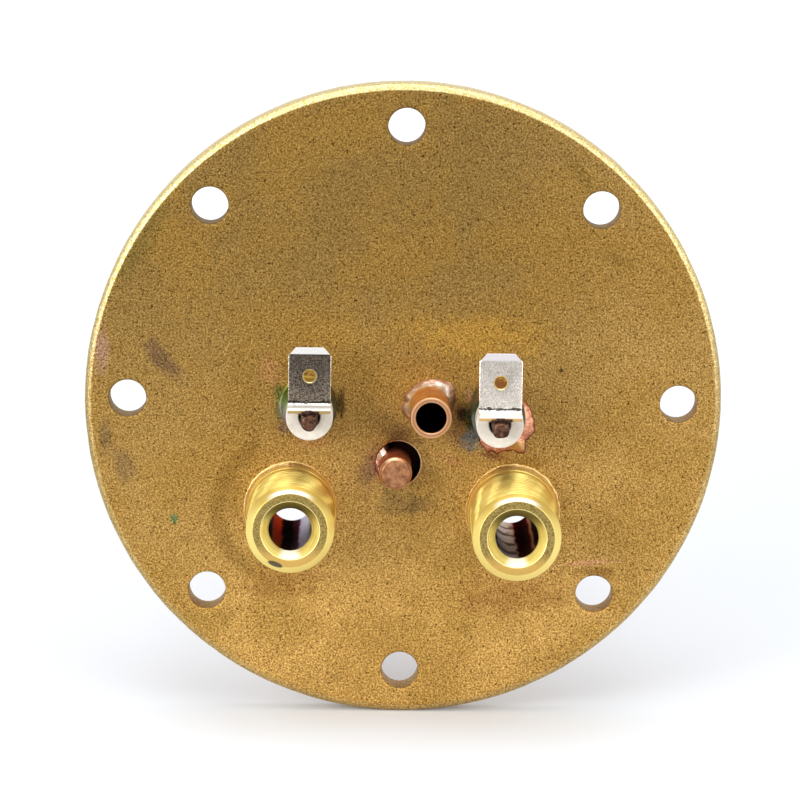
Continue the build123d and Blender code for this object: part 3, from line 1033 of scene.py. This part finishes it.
def tab_finish(side):
    """Tinned brass in a dark and a light copy that are painted reflections, with painted highlights and
    shade, bare brass on the leg's cut end and painted shade with weld crud in the inner corner.
    """
    paint = Paint(f"tinned_{side}")
    low, high = limits(f"tab_{side}")
    leg_top = low.z + 0.8
    grain = paint.noise(0.22, 3, 0.8)
    cloud = paint.noise(2.0, 3, shift=6)
    # Painted reflection: the left blade is a dark copy of the tin, reflecting the dark below, and the
    # right blade a light copy, reflecting the light above.
    if side == "left":
        dark, light, edge_highlight_share = (78, 66, 56), (168, 154, 138), 0.8
    else:
        dark, light, edge_highlight_share = (218, 204, 196), (255, 250, 238), 0.0
    color = paint.mix(paint.span(grain, 0.38, 0.62), srgb(*dark), srgb(*light))
    color = paint.tint(color, paint.span(cloud, 0.55, 0.35), 0.2, (150, 138, 122))
    # Painted highlight on the bevel at the top of the blade.
    tip_highlight = paint.span(paint.z, high.z - 1.08, high.z - 1.02)
    color = paint.tint(color, tip_highlight, 0.97, (255, 253, 250) if side == "left" else (244, 238, 242))
    # Painted line under the top bevel: painted shade on the left blade, a painted highlight on the right.
    fold_light_and_shade = paint.band(paint.z, high.z - 1.06, 0.04, 0.05)
    color = paint.tint(color, fold_light_and_shade, 0.8, (60, 52, 46) if side == "left" else (255, 252, 246))
    # Painted highlight along the side edges, on the left blade only.
    side_edge_highlight = paint.span(
        paint.math("ABSOLUTE", paint.math("SUBTRACT", paint.x, (low.x + high.x) / 2)),
        (high.x - low.x) / 2 - 0.11, (high.x - low.x) / 2 - 0.05,
    )
    color = paint.tint(color, side_edge_highlight, edge_highlight_share, (250, 240, 222))
    # Painted highlight on the top of the leg.
    leg = paint.span(paint.z, leg_top + 0.34, leg_top + 0.22)
    color = paint.tint(color, leg, 0.97, (255, 252, 246))
    ragged = paint.noise(0.7, 3, 0.8, shift=12)
    torn = paint.math("MULTIPLY", paint.math("SUBTRACT", ragged, 0.5), 1.5)
    crease_height = paint.math("ADD", paint.math("SUBTRACT", paint.z, leg_top), torn)
    # Painted shade in the inner corner between blade and leg, mixed with weld crud.
    crease_shade_and_crud = paint.both(
        paint.band(crease_height, 0.42, 0.13, 0.08), paint.span(paint.y, low.y + 2.4, low.y + 2.6)
    )
    color = paint.tint(color, crease_shade_and_crud, 0.9, (34, 28, 20))
    cut_end = paint.both(
        paint.span(paint.y, low.y + 0.09, low.y + 0.05),
        paint.span(paint.z, leg_top - 0.30, leg_top - 0.40),
    )
    color = paint.tint(color, cut_end, 0.9, (176, 140, 64) if side == "left" else (214, 168, 92))
    hole_at = ((low.x + high.x) / 2, high.z - 4.3)
    color = paint.tint(color, paint.span(paint.radius(hole_at), 1.14, 1.08), 0.85, (246, 222, 160))
    rough = paint.span(leg, 0, 1, 0.22, 0.55)
    return paint.done(color, rough, 1.0, paint.bump(grain, 0.02))


def plain_metal(name, dark, light, size, roughness, depth=0.05):
    """Metal that varies between two colours over a given distance."""
    paint = Paint(name)
    cloud = paint.noise(size, 4)
    grain = paint.noise(size / 6, 2, shift=9)
    color = paint.mix(paint.span(cloud, 0.3, 0.7), dark, light)
    normal = paint.bump(paint.math("ADD", cloud, paint.math("MULTIPLY", grain, 0.3)), depth)
    return paint.done(color, paint.span(grain, 0.3, 0.7, roughness + 0.08, roughness - 0.06), 1.0, normal)


def plain_mineral(name, dark, light, size, roughness):
    """Ceramic, powder or resin with a fine grain."""
    paint = Paint(name)
    grain = paint.noise(size, 4)
    color = paint.mix(paint.span(grain, 0.3, 0.7), dark, light)
    return paint.done(color, roughness, 0.0, paint.bump(grain, 0.03))


def dress_node(node, material):
    """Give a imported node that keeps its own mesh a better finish."""
    mesh = frame["nodes"][node].data
    mesh.materials.clear()
    mesh.materials.append(material)
    mesh.shade_smooth()
    mesh.set_sharp_from_angle(angle=radians(35))


# The pieces

tin = {side: tab_finish(side) for side in SIDES}
pin_metal = plain_metal("pin_steel", srgb(70, 46, 38), srgb(128, 92, 74), 0.7, 0.45)
weld_crust = plain_metal("weld_crust", srgb(30, 20, 18), srgb(98, 72, 60), 0.4, 0.55)
ceramic = plain_mineral("ceramic_white", srgb(218, 207, 190), srgb(231, 222, 207), 0.8, 0.38)
resin = plain_mineral("seal_resin", srgb(205, 190, 160), srgb(225, 212, 186), 0.8, 0.5)
magnesia = plain_mineral("magnesia", srgb(225, 222, 212), srgb(240, 238, 230), 0.4, 0.8)
winding = plain_metal("winding_wire", srgb(150, 148, 144), srgb(180, 178, 174), 0.5, 0.35)
sheath_copper = sheath_finish()
pocket_braze = braze_finish("pocket_braze", (208, 156, 128), (255, 240, 228), 0.9, 0.7)
spill_braze = braze_finish(
    "spill_braze",
    (206, 130, 98),
    (240, 172, 136),
    0.5,
    0.6,
    edge=(0.16, (104, 54, 40)),
    stains=SPILL_STAINS,
)
well_braze = braze_finish("well_braze", (176, 120, 96), (255, 240, 230), 0.35, 0.7)
brass_braze = braze_finish(
    "brass_braze", (226, 190, 116), (255, 234, 176), 0.8, 0.6, speck=(158, 120, 62)
)

wear(build_flange(), "flange_plate", flange_finish())
for side in SIDES:
    low, high = limits(f"nozzle_{side}")
    at = centre(f"nozzle_{side}")
    wear(build_nozzle(side), f"nozzle_{side}", nozzle_finish(side))
    braze_low, braze_high = limits(f"nozzle_braze_{side}")
    ring_piece = build_fillet(
        f"braze_ring_{side}",
        at,
        (high.x - low.x) / 2,
        NOZZLE_RING_EDGE[side],
        -braze_low.y,
        0.35,
        3.0 if side == "left" else 8.0,
    )
    wear(ring_piece, f"nozzle_braze_{side}", brass_braze)
    wear(build_pin(side), f"terminal_pin_{side}", pin_metal)
    add(build_weld(side), weld_crust)
    bead = softened(f"bead_{side}", f"ceramic_bead_{side}", 0.3, 3)
    wear(bead, f"ceramic_bead_{side}", ceramic)
    low, high = limits(f"tab_{side}")
    hole_place = Vector(((low.x + high.x) / 2, low.y + 3.4, high.z - 4.3))
    blade = softened(
        f"blade_{side}", f"tab_{side}", 0.06, 2, low.z + 1.8, (hole_place, 1.3, 0.17)
    )
    wear(blade, f"tab_{side}", tin[side])
    dress_node(f"end_seal_{side}", resin)

low, high = limits("heater_sheath")
sheath_r = (high.z - low.z) / 2
left_ring = build_fillet(
    "left_ring", centre("terminal_pin_left"), sheath_r, LEFT_RING_EDGE, 0.7, 0.4, 5.0
)
wear(left_ring, "sheath_braze_left", sheath_copper)
spill = build_fillet(
    "spill", centre("terminal_pin_right"), sheath_r, SPILL_EDGE, 0.4, 0.45, 11.0, 240, 0.32, 0.26
)
wear(spill, "sheath_braze_right", spill_braze)
dress_node("heater_sheath", sheath_copper)
dress_node("magnesia_fill", magnesia)
dress_node("resistance_winding", winding)

pocket_tube = softened("pocket_tube", "sensor_pocket", 0.16, 3)
wear(pocket_tube, "sensor_pocket", pocket_finish())
low, high = limits("sensor_pocket")
braze_low, braze_high = limits("pocket_braze")
pocket_fillet = build_fillet(
    "pocket_fillet",
    centre("sensor_pocket"),
    (high.x - low.x) / 2,
    POCKET_BRAZE_EDGE,
    -braze_low.y * 0.7,
    0.5,
    1.0,
    160,
    0.42,
)
wear(pocket_fillet, "pocket_braze", pocket_braze)
wear(softened("rod_body", "cutout_rod", 0.10, 2), "cutout_rod", rod_finish())
wear(build_well_braze(), "rod_braze", well_braze)


# Floor, light and camera

def white_for_camera(tree, base):
    """Light from the floor that only the camera sees, more of it far from the part."""
    coords = tree.nodes.new("ShaderNodeTexCoord")
    away = tree.nodes.new("ShaderNodeVectorMath")
    away.operation = "LENGTH"
    tree.links.new(coords.outputs["Object"], away.inputs[0])
    ramp = tree.nodes.new("ShaderNodeMapRange")
    ramp.interpolation_type = "SMOOTHSTEP"
    tree.links.new(away.outputs["Value"], ramp.inputs["Value"])
    ramp.inputs["From Min"].default_value = FLOOR_NEAR * MM
    ramp.inputs["From Max"].default_value = FLOOR_FAR * MM
    ramp.inputs["To Min"].default_value = FLOOR_GLOW[0]
    ramp.inputs["To Max"].default_value = FLOOR_GLOW[1]
    path = tree.nodes.new("ShaderNodeLightPath")
    glow = tree.nodes.new("ShaderNodeEmission")
    glow.inputs["Color"].default_value = (1, 1, 1, 1)
    seen = tree.nodes.new("ShaderNodeMath")
    seen.operation = "MULTIPLY"
    tree.links.new(path.outputs["Is Camera Ray"], seen.inputs[0])
    tree.links.new(ramp.outputs["Result"], seen.inputs[1])
    tree.links.new(seen.outputs[0], glow.inputs["Strength"])
    both = tree.nodes.new("ShaderNodeAddShader")
    tree.links.new(base, both.inputs[0])
    tree.links.new(glow.outputs[0], both.inputs[1])
    return both.outputs[0]


def build_floor():
    """Pale floor that the rim stands on. It ends just in front of the part."""
    bm = bmesh.new()
    low, high = limits("flange_plate")
    front, back, half = -110, 4000, 3000
    corners = [(-half, front), (half, front), (half, back), (-half, back)]
    bm.faces.new([bm.verts.new((x * MM, y * MM, low.z * MM)) for x, y in corners])
    mesh = bpy.data.meshes.new("floor")
    bm.to_mesh(mesh)
    bm.free()
    floor = bpy.data.objects.new("floor", mesh)
    bpy.context.scene.collection.objects.link(floor)
    material = bpy.data.materials.new("floor")
    material.use_nodes = True
    tree = material.node_tree
    shader = tree.nodes["Principled BSDF"]
    shader.inputs["Base Color"].default_value = (0.76, 0.79, 0.83, 1)
    shader.inputs["Roughness"].default_value = 0.9
    shader.inputs["Specular IOR Level"].default_value = 0.2
    output = tree.nodes["Material Output"]
    tree.links.new(white_for_camera(tree, shader.outputs[0]), output.inputs["Surface"])
    mesh.materials.append(material)


def build_world():
    """White studio: white to the camera, bright above, dark low in front."""
    world = bpy.data.worlds.new("studio")
    bpy.context.scene.world = world
    world.use_nodes = True
    tree = world.node_tree
    tree.nodes.clear()
    coords = tree.nodes.new("ShaderNodeTexCoord")
    split = tree.nodes.new("ShaderNodeSeparateXYZ")
    tree.links.new(coords.outputs["Generated"], split.inputs[0])
    ramp = tree.nodes.new("ShaderNodeMapRange")
    ramp.interpolation_type = "SMOOTHSTEP"
    ramp.inputs["From Min"].default_value = -0.16
    ramp.inputs["From Max"].default_value = 0.03
    ramp.inputs["To Min"].default_value = 0.25
    ramp.inputs["To Max"].default_value = 0.85
    tree.links.new(split.outputs["Z"], ramp.inputs["Value"])
    room = tree.nodes.new("ShaderNodeBackground")
    room.inputs["Color"].default_value = (1, 1, 1, 1)
    tree.links.new(ramp.outputs["Result"], room.inputs["Strength"])
    white = tree.nodes.new("ShaderNodeBackground")
    white.inputs["Color"].default_value = (1, 1, 1, 1)
    white.inputs["Strength"].default_value = 1.0
    path = tree.nodes.new("ShaderNodeLightPath")
    choose = tree.nodes.new("ShaderNodeMixShader")
    tree.links.new(path.outputs["Is Camera Ray"], choose.inputs[0])
    tree.links.new(room.outputs[0], choose.inputs[1])
    tree.links.new(white.outputs[0], choose.inputs[2])
    output = tree.nodes.new("ShaderNodeOutputWorld")
    tree.links.new(choose.outputs[0], output.inputs["Surface"])


def area_light(name, place, aim, size, power):
    """Square soft box at a place, facing a point, both in metres."""
    data = bpy.data.lights.new(name, "AREA")
    data.shape = "SQUARE"
    data.size = size
    data.energy = power
    lamp = bpy.data.objects.new(name, data)
    lamp.location = place
    direction = Vector(aim) - Vector(place)
    lamp.rotation_euler = direction.to_track_quat("-Z", "Y").to_euler()
    bpy.context.scene.collection.objects.link(lamp)


def build_camera():
    """Camera at the photograph's angle and distance."""
    rise, swing, roll = radians(CAMERA_RISE), radians(CAMERA_SWING), radians(CAMERA_ROLL)
    back = Vector((sin(swing) * cos(rise), -cos(swing) * cos(rise), sin(rise)))
    right = Vector((cos(swing), sin(swing), 0))
    up = right.cross(-back)
    aside = right * cos(roll) + up * sin(roll)
    above = up * cos(roll) - right * sin(roll)
    data = bpy.data.cameras.new("camera")
    data.sensor_width = SENSOR
    data.lens = FOCAL_PIXELS * SENSOR / PHOTO_WIDTH
    camera = bpy.data.objects.new("camera", data)
    place = (back * CAMERA_AWAY - aside * CAMERA_ASIDE - above * CAMERA_UP) * MM
    turn = Matrix((aside, above, back)).transposed().to_4x4()
    camera.matrix_world = Matrix.Translation(place) @ turn
    bpy.context.scene.collection.objects.link(camera)
    bpy.context.scene.camera = camera


build_floor()
build_world()
area_light("top_light", (0.0, -0.10, 0.75), (0, 0, 0), 0.7, 2.6)
area_light("left_light", (-0.55, -0.75, 0.25), (0, 0, 0), 0.4, 4.9)
area_light("right_light", (0.60, -0.75, 0.20), (0, 0, 0), 0.4, 2.6)
build_camera()
bpy.context.scene.view_settings.view_transform = "Standard"
